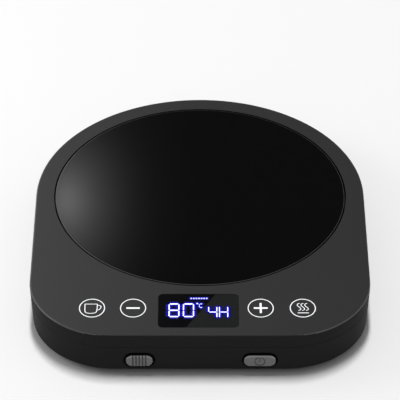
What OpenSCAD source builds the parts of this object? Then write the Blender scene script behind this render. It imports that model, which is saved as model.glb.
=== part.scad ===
// Electric mug warmer. A low two-part moulded housing carries a flush round glass plate with its
// heater stack underneath, a touch panel with a display in front, and a slide switch and a push
// button in the front wall. Millimetres, +Z up, front towards -Y, standing on z = 0.

/* [Housing] */
// Width of the rim between the glass plate and the housing's sides and rear
rim = 8.7; // [7.6:0.1:12]
// Depth of the touch panel, from the glass plate to the housing's front edge
panel_d = 34.7; // [32:0.1:46]
// Height of the housing above its feet
wall_h = 20; // [18:0.5:26]
// Radius of the two front corners, seen from above
corner_r = 38; // [34:1:42]
// Thickness of the moulded walls
wall_t = 2.4; // [2.2:0.1:2.8]
// How far the foot of the wall is drawn in under its top edge
draft = 1; // [0.8:0.1:2]
// Radius of the top edge
top_edge_r = 0.8; // [0.4:0.1:1.2]
// Radius of the bottom edge
bottom_edge_r = 1.4; // [0.8:0.1:1.8]
// Thickness of the top panel
panel_t = 2.5; // [2:0.1:2.6]
// Thickness of the floor
floor_t = 2; // [1.6:0.1:2.2]
// Depth of the cover's skirt, from the top face down to the parting line
skirt_h = 6.6; // [6:0.1:7.4]
// Width of the parting line between cover and base
seam_gap = 0.25; // [0.1:0.05:0.4]
// Depth of the cover's lip inside the base wall
lip_h = 2; // [1.4:0.1:2.2]
// Thickness of the base wall's outer leaf in front of the lip
leaf_t = 1.1; // [0.9:0.05:1.2]
// Thickness of ribs and webs
rib_t = 1.2; // [0.8:0.1:1.6]
// Length of the slots in the floor
vent_l = 26; // [20:0.5:28]
// Width of the slots in the floor
vent_w = 2; // [1.5:0.1:3]
// Spacing of the slots in the floor
vent_pitch = 6; // [5:0.1:6.5]
// Distance of each row of slots from the housing's middle
vent_x = 20; // [16:0.5:21]

/* [Warming plate] */
// Radius of the glass plate
plate_r = 66.3; // [58:0.1:76]
// Thickness of the glass plate
glass_t = 4; // [3:0.1:4.8]
// Chamfer on the edges of the glass plate
glass_bevel = 0.5; // [0.2:0.1:0.8]
// Gap between the glass plate and the cover
plate_gap = 0.5; // [0.3:0.05:0.8]
// Width of the ledge that carries the glass plate
ledge_w = 5; // [4.5:0.1:6]
// Thickness of that ledge
ledge_t = 1.8; // [1.5:0.1:2.2]
// Thickness of the ring wall around the glass plate
cup_t = 2.2; // [1.8:0.1:2.6]
// Thickness of the silicone seal under the glass rim
seal_t = 0.6; // [0.4:0.1:0.8]
// Thickness of the aluminium heat spreader
spreader_t = 1.5; // [1.2:0.1:1.8]
// Thickness of the mica heater
element_t = 0.6; // [0.4:0.1:0.8]
// Thickness of the insulation disc
insulation_t = 3; // [2.6:0.1:3.2]
// Thickness of the sheet steel retainer
retainer_t = 0.8; // [0.6:0.1:1]
// Radius of the temperature sensor
sensor_r = 3.5; // [3:0.1:4]
// Radius of the thermal fuse
fuse_r = 1.25; // [1:0.05:1.3]
// Length of the thermal fuse
fuse_l = 11; // [9:0.5:13]

/* [Display] */
// Width of the display window
window_w = 35; // [32:0.5:38]
// Depth of the display window, front to back
window_d = 22.8; // [21:0.2:24]
// Corner radius of the display window
window_r = 2.2; // [1.5:0.1:3]
// Thickness of the display window
window_t = 1.5; // [1.2:0.1:1.8]
// Distance from the housing's front edge to the display window
window_front = 5.8; // [5:0.1:6.4]
// Sideways place of the display window's centre
window_x = -0.7; // [-2:0.1:1]
// Clearance around the display window in its pocket
window_gap = 0.1; // [0.05:0.05:0.2]
// Width of the ledge under the display window
window_ledge = 1.8; // [1.4:0.1:2.2]
// Height of the LED display module
display_h = 6; // [5.5:0.1:6.4]

/* [Touch keys] */
// Sideways place of the middle of the row of touch keys
keys_x = -1.2; // [-2:0.1:2]
// Distance of the inner touch keys from the middle of the row
key_inner = 27.7; // [24:0.1:30]
// Distance of the outer touch keys from the housing's sides
key_side = 29.2; // [26:0.1:34]
// Distance from the housing's front edge to the touch keys
key_front = 19; // [18:0.1:20]
// Radius of the conductive foam post under each touch key
foam_r = 4; // [3:0.1:4.5]

/* [Front controls] */
// Height of the controls' centre line above the housing's underside
control_up = 5.85; // [5.8:0.05:6.6]
// Height of the slots in the front wall
slot_h = 8.2; // [7.6:0.1:8.4]
// Chamfer around the slots
slot_bevel = 0.3; // [0.1:0.1:0.4]
// Height of the knob and the button
knob_h = 5.9; // [4.8:0.1:6.2]
// How far the knob and the button stand out of the front wall
knob_proud = 0.9; // [0.6:0.1:1]
// Edge rounding of the knob and the button
knob_bevel = 0.6; // [0.3:0.1:0.8]
// Distance of the slide knob's centre from the end of the straight front wall
slide_in = 10.75; // [10.5:0.05:14]
// Width of the slide knob
slide_w = 11.7; // [11:0.1:12]
// Travel of the slide knob to each side of its middle position
slide_travel = 0.75; // [0.5:0.05:0.8]
// Gap beside the slide knob at the end of its travel
slide_gap = 0.25; // [0.2:0.05:0.4]
// Number of grip grooves across the slide knob
grip_count = 5; // [3:1:6]
// Spacing of the grip grooves
grip_pitch = 1.4; // [1.2:0.05:1.6]
// Width of a grip groove
grip_w = 0.6; // [0.4:0.05:0.7]
// Distance of the push button's centre from the end of the straight front wall
button_in = 11.1; // [11:0.1:15]
// Width of the push button
button_w = 13.9; // [13:0.1:14.4]
// Travel of the push button
button_travel = 0.6; // [0.4:0.05:0.7]
// Gap around the push button in its slot, at its ends
button_gap = 0.75; // [0.5:0.05:1]
// Outer radius of the ring in the push button's sign
icon_r = 2.4; // [1.8:0.1:2.5]
// Clearance of the sliding parts behind the front wall
slide_fit = 0.3; // [0.2:0.05:0.4]

/* [Boards] */
// Thickness of the circuit boards
board_t = 1.6; // [1.2:0.1:1.6]
// Height of the power board's standoffs above the floor
standoff_h = 0.8; // [0.6:0.1:0.9]
// Space between the power board and the housing's sides
power_side = 27; // [26:0.5:32]
// Depth of the power board, front to back
power_d = 50; // [46:1:56]
// Space between the control board and the housing's sides
control_side = 23; // [21:0.5:26]
// Space between the control board and the housing's front
control_in = 8; // [7:0.1:9]
// Space between the control board and the ring around the plate
control_rear = 2; // [1:0.1:3]
// Space between the tallest part on the power board and the retainer above it
part_gap = 1.1; // [0.8:0.1:2]
// Width of the capacitor on the power board
capacitor_w = 13; // [10:0.1:14]
// Depth of the capacitor
capacitor_d = 6; // [5:0.1:8]
// Width of the triac
triac_w = 10; // [9:0.1:11]
// Length of the triac with its tab
triac_l = 15.5; // [14:0.1:17]
// Radius of the buzzer
buzzer_r = 4.8; // [4:0.1:6]
// Width of the terminal block
terminal_w = 10; // [9:0.1:12]
// Depth of the terminal block
terminal_d = 8; // [7:0.1:9]
// Length of the controller chip
chip_w = 11; // [8:0.1:12]
// Width of the controller chip without its pins
chip_d = 5.6; // [4.5:0.1:7]
// Spacing of the board connector's pins
pin_pitch = 2.54; // [2:0.01:2.54]

/* [Cord inlet] */
// Radius of the bore for the cord
cord_r = 2.9; // [2.5:0.1:3.2]
// Wall thickness of the cord gland
gland_t = 1.2; // [1:0.1:1.4]
// Length of the cord gland's bore
gland_l = 8.3; // [7:0.1:10]

/* [Feet and screws] */
// Radius of the rubber feet
foot_r = 8; // [7:0.1:9]
// Height of the rubber feet under the housing
foot_h = 2.5; // [2:0.1:3]
// Depth of the foot's recess in the floor
foot_recess = 1; // [0.6:0.1:1]
// Distance of the front feet from the housing's sides
foot_side = 17; // [16:0.5:20]
// Radius of the screw bosses
boss_r = 3.6; // [3.4:0.1:3.8]
// Radius of the housing screws
screw_r = 1.5; // [1.3:0.05:1.6]
// Radius of the small screws on the boards and the retainer
small_screw_r = 1.1; // [1:0.05:1.2]
// Clearance of a screw in its hole
screw_fit = 0.1; // [0.05:0.05:0.15]

/* [Hidden] */
$fn = 64;

slack = 0.5;                       // how far a cutter runs past the face it cuts
overlap = 1;                       // how far the parts of one moulding run into each other
edge_steps = 5;                    // straight steps in a rounded edge

// outline, seen from above
half_w = plate_r + rim;
body_d = half_w + plate_r + panel_d;
front_y = -body_d / 2;
plate_y = body_d / 2 - half_w;
corner_x = half_w - corner_r;
corner_y = front_y + corner_r;

// levels
base_z = foot_h;
top_z = base_z + wall_h;
floor_z = base_z + floor_t;
panel_z = top_z - panel_t;
seam_top = top_z - skirt_h;
seam_bottom = seam_top - seam_gap;
lip_bottom = seam_top - lip_h;
lip_fit = 0.12;
rim_in = 2.6;
rim_w = wall_t + rim_in;           // how far the shaped rims reach inwards
edge_relief = 0.4;                 // how far a rib stops short of the face behind it

// heater stack, from the glass downwards
glass_z = top_z - glass_t;
ledge_top = glass_z - seal_t;
ledge_z = ledge_top - ledge_t;
cup_r = plate_r + plate_gap;
ledge_r = plate_r - ledge_w;
stack_gap = 0.4;
spreader_z = glass_z - spreader_t;
element_z = spreader_z - element_t;
insulation_z = element_z - insulation_t;
retainer_z = insulation_z - retainer_t;
spreader_r = ledge_r - stack_gap;
element_r = spreader_r - 4;
insulation_r = spreader_r - 2;
retainer_r = spreader_r - 1;
sensor_hole_r = sensor_r + stack_gap;
fuse_x = 24;
small_post_r = 2.6;
tab_in = 5;                        // how far the heater's tabs lie inside its rim
ear_ring_r = ledge_r + small_post_r + 0.6;
ear_angles = [15, 165, 215, 325];

vent_y = plate_y + 2 * vent_w;

// feet, housing screws and their bosses
boss_split_z = floor_z + 0.325 * wall_h;
screw_head_r = screw_r * 1.85;
screw_head_h = 2;
head_fit = 0.6;
seat_t = 1.2;
screw_seat_z = floor_z + screw_head_h;
screw_end_z = ledge_z + edge_relief;
rear_boss_r = ledge_r + boss_r + 0.1;
foot_front_x = half_w - foot_side;
foot_front_y = corner_y + foot_r / 4;
screw_places = [[-foot_front_x, foot_front_y], [foot_front_x, foot_front_y],
                [-rear_boss_r * cos(45), plate_y + rear_boss_r * sin(45)],
                [rear_boss_r * cos(45), plate_y + rear_boss_r * sin(45)]];
foot_edge = 1.5;
foot_fit = 0.2;
rear_foot_r = half_w - draft - bottom_edge_r - foot_r - foot_edge;
foot_places = [screw_places[0], screw_places[1],
               [-rear_foot_r * cos(45), plate_y + rear_foot_r * sin(45)],
               [rear_foot_r * cos(45), plate_y + rear_foot_r * sin(45)]];

// display and control board
window_y = front_y + window_front + window_d / 2;
window_z = top_z - window_t;
display_gap = 0.2;
display_w = window_w - 2 * window_ledge - 1;
display_d = window_d - 2 * window_ledge - 1;
display_z = window_z - display_gap - display_h;
control_z = display_z - board_t;
control_w = 2 * (half_w - control_side);
control_y = front_y + control_in;
control_d = plate_y - cup_r - cup_t - control_rear - control_y;
post_in = 3.2;
key_y = front_y + key_front;
key_outer = half_w - key_side;
key_x = [keys_x - key_outer, keys_x - key_inner, keys_x + key_inner, keys_x + key_outer];
control_posts = [[-control_w / 2 + post_in, control_y + control_d - post_in],
                 [control_w / 2 - post_in, control_y + control_d - post_in],
                 [(key_x[0] + key_x[1]) / 2, control_y + post_in],
                 [(key_x[2] + key_x[3]) / 2, control_y + post_in]];
chip_x = -control_w * 0.23;
small_head_r = small_screw_r * 2;
small_head_h = 1.4;
small_screw_l = 3.2;               // length of a small screw in its post

// power board
power_w = 2 * (half_w - power_side);
power_z = floor_z + standoff_h;
power_top = power_z + board_t;
part_h = retainer_z - power_top - part_gap;
power_screw_l = board_t + standoff_h + floor_t / 2;
post_side = 5;

// front controls: front faces, flanges and guides
knob_z = base_z + control_up;
slide_x = -(corner_x - slide_in);
button_x = corner_x - button_in;
knob_front = front_y - skin(knob_z) - knob_proud;
slide_slot_w = slide_w + 2 * (slide_travel + slide_gap);
button_slot_w = button_w + 2 * button_gap;
guide_front = front_y - skin(floor_z) + wall_t + slide_fit / 2;
flange_front = guide_front + slide_fit / 3;
flange_bottom = floor_z + slide_fit;
flange_top = knob_z + slot_h / 2 + edge_relief;
flange_over = 1.6;
button_flange_t = 1;
guide_back = flange_front + button_flange_t + button_travel + slide_fit;
guide_t = 1;
slide_flange_t = guide_back - flange_front - slide_fit;
boss_back = guide_back + guide_t + slide_fit;
power_y = boss_back + button_travel + slide_fit;
power_posts = [for (x = [-1, 1], y = [post_side, power_d - post_side])
    [x * (power_w / 2 - post_side), power_y + y]];
part_y = power_y + 0.6 * power_d;
switch_face = power_y + edge_relief;
lever_w = 1.6;
fork_w = 6;
fork_h = 4;
stem_r = 2;
stem_fit = 0.4;
guide_end_t = 1.2;
plunger_r = 1.2;
plunger_in = 1.4;                  // how far plunger and lever reach into their switches
lever_in = 2;
lever_fit = 0.1;

// cord gland
gland_neck_r = cord_r + gland_t;
gland_flange_r = gland_neck_r + 1.3;
gland_flange_t = 1;
gland_barb = 0.45;
gland_fit = 0.1;
gland_boss_r = gland_flange_r + 1;
gland_z = floor_z + gland_neck_r + gland_barb + gland_fit + 0.05;
gland_face = front_y + body_d + skin(gland_z) - gland_fit;
gland_seat = gland_face - gland_flange_t;
gland_pad = gland_seat - 0.8 * wall_t;

// Distance of the drafted outer face from the top outline, at a height above the floor level
function skin(z) = -draft * (top_z - top_edge_r - z) / (wall_h - top_edge_r);

// Points on an arc around c, from angle a to angle b
function arc(c, r, a, b) = [for (i = [0:edge_steps]) let (t = a + (b - a) * i / edge_steps)
    [c.x + r * cos(t), c.y + r * sin(t)]];

// One straight stretch of wall, length l along +Y, its section standing at x = reach
module stretch(points, reach, l) {
    translate([0, l, 0]) rotate([90, 0, 0]) linear_extrude(l)
        polygon([for (p = points) [reach + p.x, p.y]]);
}

// A quarter or half turn of the same section
module bend(points, reach, from, turn) {
    rotate([0, 0, from]) rotate_extrude(angle = turn, $fn = 180)
        polygon([for (p = points) [reach + p.x, p.y]]);
}

// A section carried all the way round the housing's outline. Its x is measured outwards from the
// outline of the top face.
module around(points) {
    translate([0, plate_y, 0]) bend(points, half_w, 0, 180);
    for (side = [0, 1]) mirror([side, 0, 0]) {
        translate([0, corner_y, 0]) stretch(points, half_w, plate_y - corner_y);
        translate([corner_x, corner_y, 0]) bend(points, corner_r, -90, 90);
    }
    translate([-corner_x, 0, 0]) rotate([0, 0, -90]) stretch(points, -front_y, 2 * corner_x);
}

// A flat plate with the housing's outline, drawn in by inset
module slab(inset, z, h) {
    w = half_w - inset;
    translate([0, plate_y, z]) rotate_extrude(angle = 180, $fn = 180) square([w, h]);
    translate([-w, corner_y, z]) cube([2 * w, plate_y - corner_y, h]);
    for (side = [0, 1]) mirror([side, 0, 0]) translate([corner_x, corner_y, z])
        rotate([0, 0, -90]) rotate_extrude(angle = 90, $fn = 120) square([corner_r - inset, h]);
    translate([-corner_x, front_y + inset, z]) cube([2 * corner_x, corner_r - inset, h]);
}

// A long outline with round ends, w wide and h high
module stadium(w, h) {
    square([w - h, h], center = true);
    for (side = [-1, 1]) translate([side * (w - h) / 2, 0]) circle(d = h);
}

// A rectangle with round corners
module rounded(w, d, r) {
    square([w - 2 * r, d], center = true);
    square([w, d - 2 * r], center = true);
    for (x = [-1, 1], y = [-1, 1]) translate([x * (w / 2 - r), y * (d / 2 - r)]) circle(r);
}

// Stands a flat outline up in the front wall: from y = y0 to y = y1, centred on [x, z]
module upright(x, z, y0, y1) {
    translate([x, y1, z]) rotate([90, 0, 0]) linear_extrude(y1 - y0) children();
}

// A screw standing on its head: head under z, shank above it up to z + l
module screw(r, head_r, head_h, l) {
    difference() {
        union() {
            translate([0, 0, -head_h]) cylinder(r = head_r, h = head_h);
            cylinder(r = r, h = l);
        }
        for (turn = [0, 90]) rotate([0, 0, turn]) translate([0, 0, -head_h])
            cube([head_r, 0.6, 1.4], center = true);
    }
}

// One slot in the front wall with its chamfer
module wall_slot(x, w) {
    upright(x, knob_z, front_y - slack, guide_front) stadium(w, slot_h);
    upright(x, knob_z, front_y - slack, front_y - skin(knob_z) + slot_bevel)
        stadium(w + 2 * slot_bevel, slot_h + 2 * slot_bevel);
}

// ---- Housing ----

module base_shell() {
    rebate_z = lip_bottom - slide_fit;
    foot_x = skin(base_z + bottom_edge_r);
    wall = concat(
        [[-rim_w, floor_z], [-rim_w, base_z]],
        arc([foot_x - bottom_edge_r, base_z + bottom_edge_r], bottom_edge_r, -90, 0),
        [[skin(seam_bottom), seam_bottom], [skin(seam_bottom) - leaf_t, seam_bottom],
         [skin(seam_bottom) - leaf_t, rebate_z], [skin(rebate_z) - wall_t, rebate_z],
         [skin(floor_z) - wall_t, floor_z]]);
    color([0.13, 0.13, 0.13]) difference() {
        union() {
            around(wall);
            slab(rim_w - overlap, base_z, floor_t);
            for (p = screw_places) translate([p.x, p.y, floor_z - overlap]) {
                cylinder(r = boss_r, h = boss_split_z - floor_z + overlap);
                cylinder(r = screw_head_r + head_fit + wall_t / 2,
                         h = screw_seat_z - floor_z + overlap + seat_t);
            }
            for (p = power_posts) translate([p.x, p.y, floor_z - overlap])
                cylinder(r = small_post_r, h = standoff_h + overlap);
            gland_boss();
            base_ribs();
        }
        for (p = foot_places) translate([p.x, p.y, 0])
            cylinder(r = foot_r + foot_fit, h = base_z + foot_recess);
        for (p = screw_places) translate([p.x, p.y, 0]) {
            cylinder(r = screw_head_r + head_fit, h = screw_seat_z);
            cylinder(r = screw_r + screw_fit, h = boss_split_z + slack);
        }
        for (p = power_posts) translate([p.x, p.y, power_top - power_screw_l - edge_relief])
            cylinder(r = small_screw_r + screw_fit, h = wall_h);
        wall_slot(slide_x, slide_slot_w);
        wall_slot(button_x, button_slot_w);
        upright(0, gland_z, gland_seat, body_d) circle(gland_flange_r + 2 * gland_fit);
        upright(0, gland_z, gland_pad - slack, body_d) circle(gland_neck_r + gland_fit);
        floor_vents();
    }
}

// The thick place in the rear wall that the cord gland snaps into
module gland_boss() {
    inner = -skin(gland_z) + wall_t;
    upright(0, gland_z, gland_pad, half_w + plate_y - inner + overlap) circle(gland_boss_r);
    translate([-gland_boss_r, gland_pad, floor_z - overlap])
        cube([2 * gland_boss_r, half_w + plate_y - inner + overlap - gland_pad - edge_relief,
              gland_z - floor_z + overlap]);
}

// Gussets between the base wall and the floor
module base_ribs() {
    reach = 2 * wall_t + 0.2;
    toe = rib_t / 2;
    for (a = [20:20:160]) if (a != 80 && a != 100) translate([0, plate_y, 0]) rotate([0, 0, a])
        translate([half_w - wall_t + skin(floor_z) - reach, rib_t / 2, 0]) rotate([90, 0, 0])
            linear_extrude(rib_t) polygon([[0, floor_z - overlap], [reach + overlap, floor_z - overlap],
                                           [reach + overlap, floor_z + reach], [reach - toe, floor_z + reach],
                                           [0, floor_z + toe]]);
}

// Two rows of slots in the floor, under the heater
module floor_vents() {
    for (side = [-1, 1], i = [-3:3]) translate([side * vent_x, vent_y + i * vent_pitch, base_z - slack])
        linear_extrude(floor_t + 2 * slack) stadium(vent_l, vent_w);
}

module top_cover() {
    lip_x = skin(seam_top) - leaf_t - lip_fit;
    inner_x = skin(lip_bottom) - wall_t;
    notch_w = 2 * (gland_boss_r + slide_fit);
    web_z = lip_bottom + rib_t / 2;
    skirt = concat(
        [[-rim_w, panel_z], [-rim_w, top_z]],
        arc([-top_edge_r, top_z - top_edge_r], top_edge_r, 90, 0),
        [[skin(seam_top), seam_top], [lip_x, seam_top], [lip_x, lip_bottom],
         [inner_x, lip_bottom], [inner_x, panel_z]]);
    color([0.25, 0.25, 0.25]) difference() {
        union() {
            around(skirt);
            slab(rim_w - overlap, panel_z, panel_t);
            translate([0, plate_y, ledge_z])
                cylinder(r = cup_r + cup_t, h = panel_z - ledge_z + overlap, $fn = 180);
            for (i = [0:3]) translate([screw_places[i].x, screw_places[i].y, boss_split_z])
                cylinder(r = boss_r, h = (i < 2 ? panel_z : ledge_z) - boss_split_z + overlap);
            for (a = ear_angles) translate([0, plate_y, 0]) rotate([0, 0, a])
                translate([ear_ring_r, 0, insulation_z])
                    cylinder(r = small_post_r, h = ledge_z - insulation_z + overlap);
            for (p = control_posts) translate([p.x, p.y, display_z])
                cylinder(r = small_post_r, h = panel_z - display_z + overlap);
            cover_webs(web_z);
        }
        translate([0, plate_y, ledge_top]) cylinder(r = cup_r, h = glass_t + seal_t + slack, $fn = 180);
        translate([0, plate_y, insulation_z - slack]) cylinder(r = ledge_r, h = wall_h, $fn = 180);
        translate([window_x, window_y, window_z]) linear_extrude(window_t + slack)
            rounded(window_w + 2 * window_gap, window_d + 2 * window_gap, window_r + window_gap);
        translate([window_x, window_y, panel_z - slack]) linear_extrude(panel_t)
            rounded(window_w - 2 * window_ledge, window_d - 2 * window_ledge, window_r);
        for (p = screw_places) translate([p.x, p.y, boss_split_z - slack])
            cylinder(r = screw_r + screw_fit, h = screw_end_z - boss_split_z + 2 * slack);
        translate([-notch_w / 2, plate_y + cup_r + cup_t, lip_bottom - slack])
            cube([notch_w, half_w, seam_top - lip_bottom + slack]);
        for (a = ear_angles) translate([0, plate_y, 0]) rotate([0, 0, a])
            translate([ear_ring_r, 0, insulation_z - slack])
                cylinder(r = small_screw_r + screw_fit, h = ledge_top - insulation_z - edge_relief / 2);
        for (p = control_posts) translate([p.x, p.y, display_z - slack])
            cylinder(r = small_screw_r + screw_fit, h = small_screw_l + edge_relief + slack);
    }
}

// Webs between the cover's skirt and the ring around the glass plate
module cover_webs(z) {
    for (a = [0:30:180]) if (a != 90) translate([0, plate_y, 0]) rotate([0, 0, a])
        translate([cup_r + cup_t - overlap, -rib_t / 2, z])
            cube([half_w - wall_t + skin(lip_bottom) - cup_r - cup_t + 2 * overlap - edge_relief, rib_t,
                  panel_z - z + overlap]);
}

module cord_gland() {
    color([0.08, 0.08, 0.08]) translate([0, gland_face, gland_z]) rotate([90, 0, 0]) rotate_extrude()
        polygon([[cord_r, 0], [gland_flange_r, 0.3], [gland_flange_r, gland_flange_t],
                 [gland_neck_r, gland_flange_t], [gland_neck_r, gland_face - gland_pad],
                 [gland_neck_r + gland_barb, gland_face - gland_pad],
                 [gland_neck_r, gland_face - gland_pad + 1.6],
                 [gland_neck_r - 0.3, gland_l], [cord_r, gland_l]]);
}

module housing_screws() {
    color([0.6, 0.6, 0.62]) for (p = screw_places) translate([p.x, p.y, screw_seat_z])
        screw(screw_r, screw_head_r, screw_head_h, screw_end_z - screw_seat_z);
}

module foot(p) {
    edge = 0.6;
    color([0.06, 0.06, 0.06]) translate([p.x, p.y, 0]) difference() {
        rotate_extrude() polygon([[0, 0], [foot_r - edge, 0], [foot_r, edge],
                                  [foot_r, foot_h + foot_recess], [0, foot_h + foot_recess]]);
        translate([0, 0, -slack]) difference() {
            cylinder(r = foot_r - 2.2, h = slack + 0.4);
            cylinder(r = foot_r - 3.4, h = slack + 0.5);
        }
    }
}

// ---- Warming plate and heater ----

module glass_plate() {
    b = glass_bevel;
    color([0.04, 0.04, 0.05]) translate([0, plate_y, glass_z]) rotate_extrude($fn = 180)
        polygon([[0, 0], [plate_r - b, 0], [plate_r, b], [plate_r, glass_t - b],
                 [plate_r - b, glass_t], [0, glass_t]]);
}

module plate_seal() {
    color([0.5, 0.1, 0.08]) translate([0, plate_y, ledge_top]) linear_extrude(seal_t)
        difference() {
            circle(plate_r - glass_bevel, $fn = 180);
            circle(ledge_r + 0.3, $fn = 180);
        }
}

module heat_spreader() {
    color([0.75, 0.75, 0.77]) translate([0, plate_y, spreader_z])
        cylinder(r = spreader_r, h = spreader_t, $fn = 180);
}

// The opening for the sensor and the slot for the fuse, shared by the discs of the stack
module stack_openings() {
    circle(sensor_hole_r);
    translate([fuse_x, 0]) rounded(fuse_l + 2 * stack_gap, 2 * fuse_r + 2 * stack_gap, 0.6);
}

module heater_element() {
    tab_w = 6;
    color([0.62, 0.52, 0.3]) translate([0, plate_y, element_z]) linear_extrude(element_t)
        difference() {
            circle(element_r, $fn = 180);
            circle(sensor_hole_r);
            for (x = [-1, 1]) translate([x * tab_w, -element_r + tab_in]) circle(1.2);
        }
}

module insulation_disc() {
    color([0.85, 0.83, 0.78]) translate([0, plate_y, insulation_z]) linear_extrude(insulation_t)
        difference() {
            circle(insulation_r, $fn = 180);
            stack_openings();
            translate([0, -element_r + tab_in]) rounded(18, 6, 1);
        }
}

module heater_retainer() {
    relief_r = 0.2 * retainer_r;
    ear_w = 8;
    color([0.68, 0.68, 0.7]) translate([0, plate_y, retainer_z]) linear_extrude(retainer_t)
        difference() {
            union() {
                circle(retainer_r, $fn = 180);
                for (a = ear_angles) rotate(a) translate([ear_ring_r - ear_w, -ear_w / 2]) square(ear_w);
                for (a = ear_angles) rotate(a) translate([ear_ring_r, 0]) circle(ear_w / 2);
            }
            for (a = [60:60:360]) rotate(a + 30) translate([retainer_r * 0.62, 0]) circle(relief_r);
            for (a = ear_angles) rotate(a) translate([ear_ring_r, 0]) circle(small_screw_r + screw_fit);
        }
}

module retainer_screws() {
    color([0.6, 0.6, 0.62]) for (a = ear_angles) translate([0, plate_y, 0]) rotate([0, 0, a])
        translate([ear_ring_r, 0, retainer_z])
            screw(small_screw_r, small_head_r, small_head_h, ledge_top - retainer_z - 1);
}

module temperature_sensor() {
    color([0.9, 0.9, 0.88]) translate([0, plate_y, insulation_z]) {
        cylinder(r = sensor_r, h = insulation_t + element_t - 0.8);
        cylinder(r = sensor_r - 1, h = insulation_t + element_t);
    }
}

module thermal_fuse() {
    lead_r = 0.4;
    color([0.8, 0.75, 0.6]) translate([fuse_x, plate_y, insulation_z + fuse_r + 0.05]) rotate([0, 90, 0]) {
        cylinder(r = fuse_r, h = fuse_l - 4, center = true);
        cylinder(r = lead_r, h = fuse_l, center = true);
    }
}

// ---- Display and touch panel ----

module display_window() {
    edge = 0.25;
    color([0.05, 0.05, 0.05]) translate([window_x, window_y, window_z]) {
        linear_extrude(window_t - edge) rounded(window_w, window_d, window_r);
        translate([0, 0, window_t - edge]) linear_extrude(edge)
            rounded(window_w - 2 * edge, window_d - 2 * edge, window_r - edge);
    }
}

// One bar of a seven-bar figure, with pointed ends
module bar(l, t) {
    polygon([[-l / 2, 0], [-l / 2 + t / 2, t / 2], [l / 2 - t / 2, t / 2],
             [l / 2, 0], [l / 2 - t / 2, -t / 2], [-l / 2 + t / 2, -t / 2]]);
}

// A seven-bar figure, w by h, from the bars that are listed: 0 top, 1 top right, 2 bottom right,
// 3 bottom, 4 bottom left, 5 top left, 6 middle
module figure(w, h, t, bars) {
    x = (w - t) / 2;
    y = (h - t) / 2;
    places = [[0, y, 0], [x, y / 2, 90], [x, -y / 2, 90], [0, -y, 0],
              [-x, -y / 2, 90], [-x, y / 2, 90], [0, 0, 0]];
    for (i = bars) translate([places[i].x, places[i].y]) rotate(places[i].z)
        bar((places[i].z == 0 ? w - t : y) - 0.2, t);
}

module display_module() {
    well = 0.6;
    figures = [[-10.6, 0.3, 5.3, 10.6, 1.05, [0, 1, 2, 3, 4, 5, 6]],
               [-4.3, 0.3, 5.3, 10.6, 1.05, [0, 1, 2, 3, 4, 5]],
               [6.15, -1.2, 4.2, 7.8, 0.85, [1, 2, 5, 6]], [11.15, -1.2, 4.2, 7.8, 0.85, [1, 2, 4, 5, 6]]];
    color([0.85, 0.85, 0.87]) translate([window_x, window_y, display_z]) difference() {
        linear_extrude(display_h) rounded(display_w, display_d, 0.8);
        translate([0, 0, display_h - well]) linear_extrude(well + slack)
            for (f = figures) translate([f[0], f[1]]) figure(f[2], f[3], f[4], f[5]);
    }
}

module control_board() {
    color([0.1, 0.3, 0.16]) translate([0, control_y + control_d / 2, control_z]) linear_extrude(board_t)
        difference() {
            rounded(control_w, control_d, 2);
            for (p = control_posts) translate([p.x, p.y - control_y - control_d / 2])
                circle(small_screw_r + screw_fit);
        }
}

module control_board_screws() {
    color([0.6, 0.6, 0.62]) for (p = control_posts) translate([p.x, p.y, control_z])
        screw(small_screw_r, small_head_r, small_head_h, board_t + small_screw_l);
}

module controller_chip() {
    chip_t = 1.5;
    leg_t = 0.5;
    color([0.1, 0.1, 0.1]) translate([chip_x, control_y + control_d / 2, control_z]) {
        translate([0, 0, -chip_t / 2 - leg_t / 2]) cube([chip_w, chip_d, chip_t], center = true);
        for (side = [-1, 1], i = [-3.5:3.5])
            translate([i * pin_pitch / 2, side * (chip_d / 2 + leg_t / 2), -leg_t])
                cube([leg_t, 3 * leg_t, 2 * leg_t], center = true);
    }
}

module touch_foam(x) {
    waist = 0.5;
    h = panel_z - display_z;
    color([0.3, 0.3, 0.32]) translate([x, key_y, display_z]) rotate_extrude()
        polygon([[0, 0], [foam_r, 0], [foam_r, 0.8], [foam_r - waist, h / 2],
                 [foam_r, h - 0.8], [foam_r, h], [0, h]]);
}

// ---- Front controls ----

// The part of a control that is seen: a pad with round ends and a rounded front edge
module control_face(x, w) {
    r = knob_h / 2;
    depth = flange_front + overlap / 2 - knob_front;
    side = concat(arc([r - knob_bevel, knob_bevel], knob_bevel, -90, 0), [[r, depth]]);
    translate([x, knob_front, knob_z]) {
        for (end = [-1, 1]) translate([end * (w / 2 - r), 0, 0]) rotate([-90, 0, 0]) rotate_extrude()
            polygon(concat([[0, 0]], side, [[0, depth]]));
        translate([r - w / 2, 0, 0]) rotate([90, 0, 90]) linear_extrude(w - knob_h)
            polygon(concat([for (p = side) [p.y, p.x]],
                           [for (i = [len(side) - 1:-1:0]) [side[i].y, -side[i].x]]));
    }
}

// The plate behind the front wall that keeps a control in its slot
module control_flange(x, w, t) {
    translate([x - w / 2 - flange_over, flange_front, flange_bottom])
        cube([w + 2 * flange_over, t, flange_top - flange_bottom]);
}

// The bracket behind the front wall that a control's plate runs in
module control_guide(x, room_w, window_w, window_h) {
    top = flange_top + slide_fit;
    translate([x, 0, 0]) difference() {
        translate([-room_w / 2 - guide_end_t, guide_front, floor_z])
            cube([room_w + 2 * guide_end_t, guide_back + guide_t - guide_front, top + guide_t - floor_z]);
        translate([-room_w / 2, guide_front - slack, floor_z - slack])
            cube([room_w, guide_back - guide_front + slack, top - floor_z + slack]);
        translate([-window_w / 2, guide_front, knob_z - window_h / 2])
            cube([window_w, body_d, window_h]);
    }
}

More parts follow.
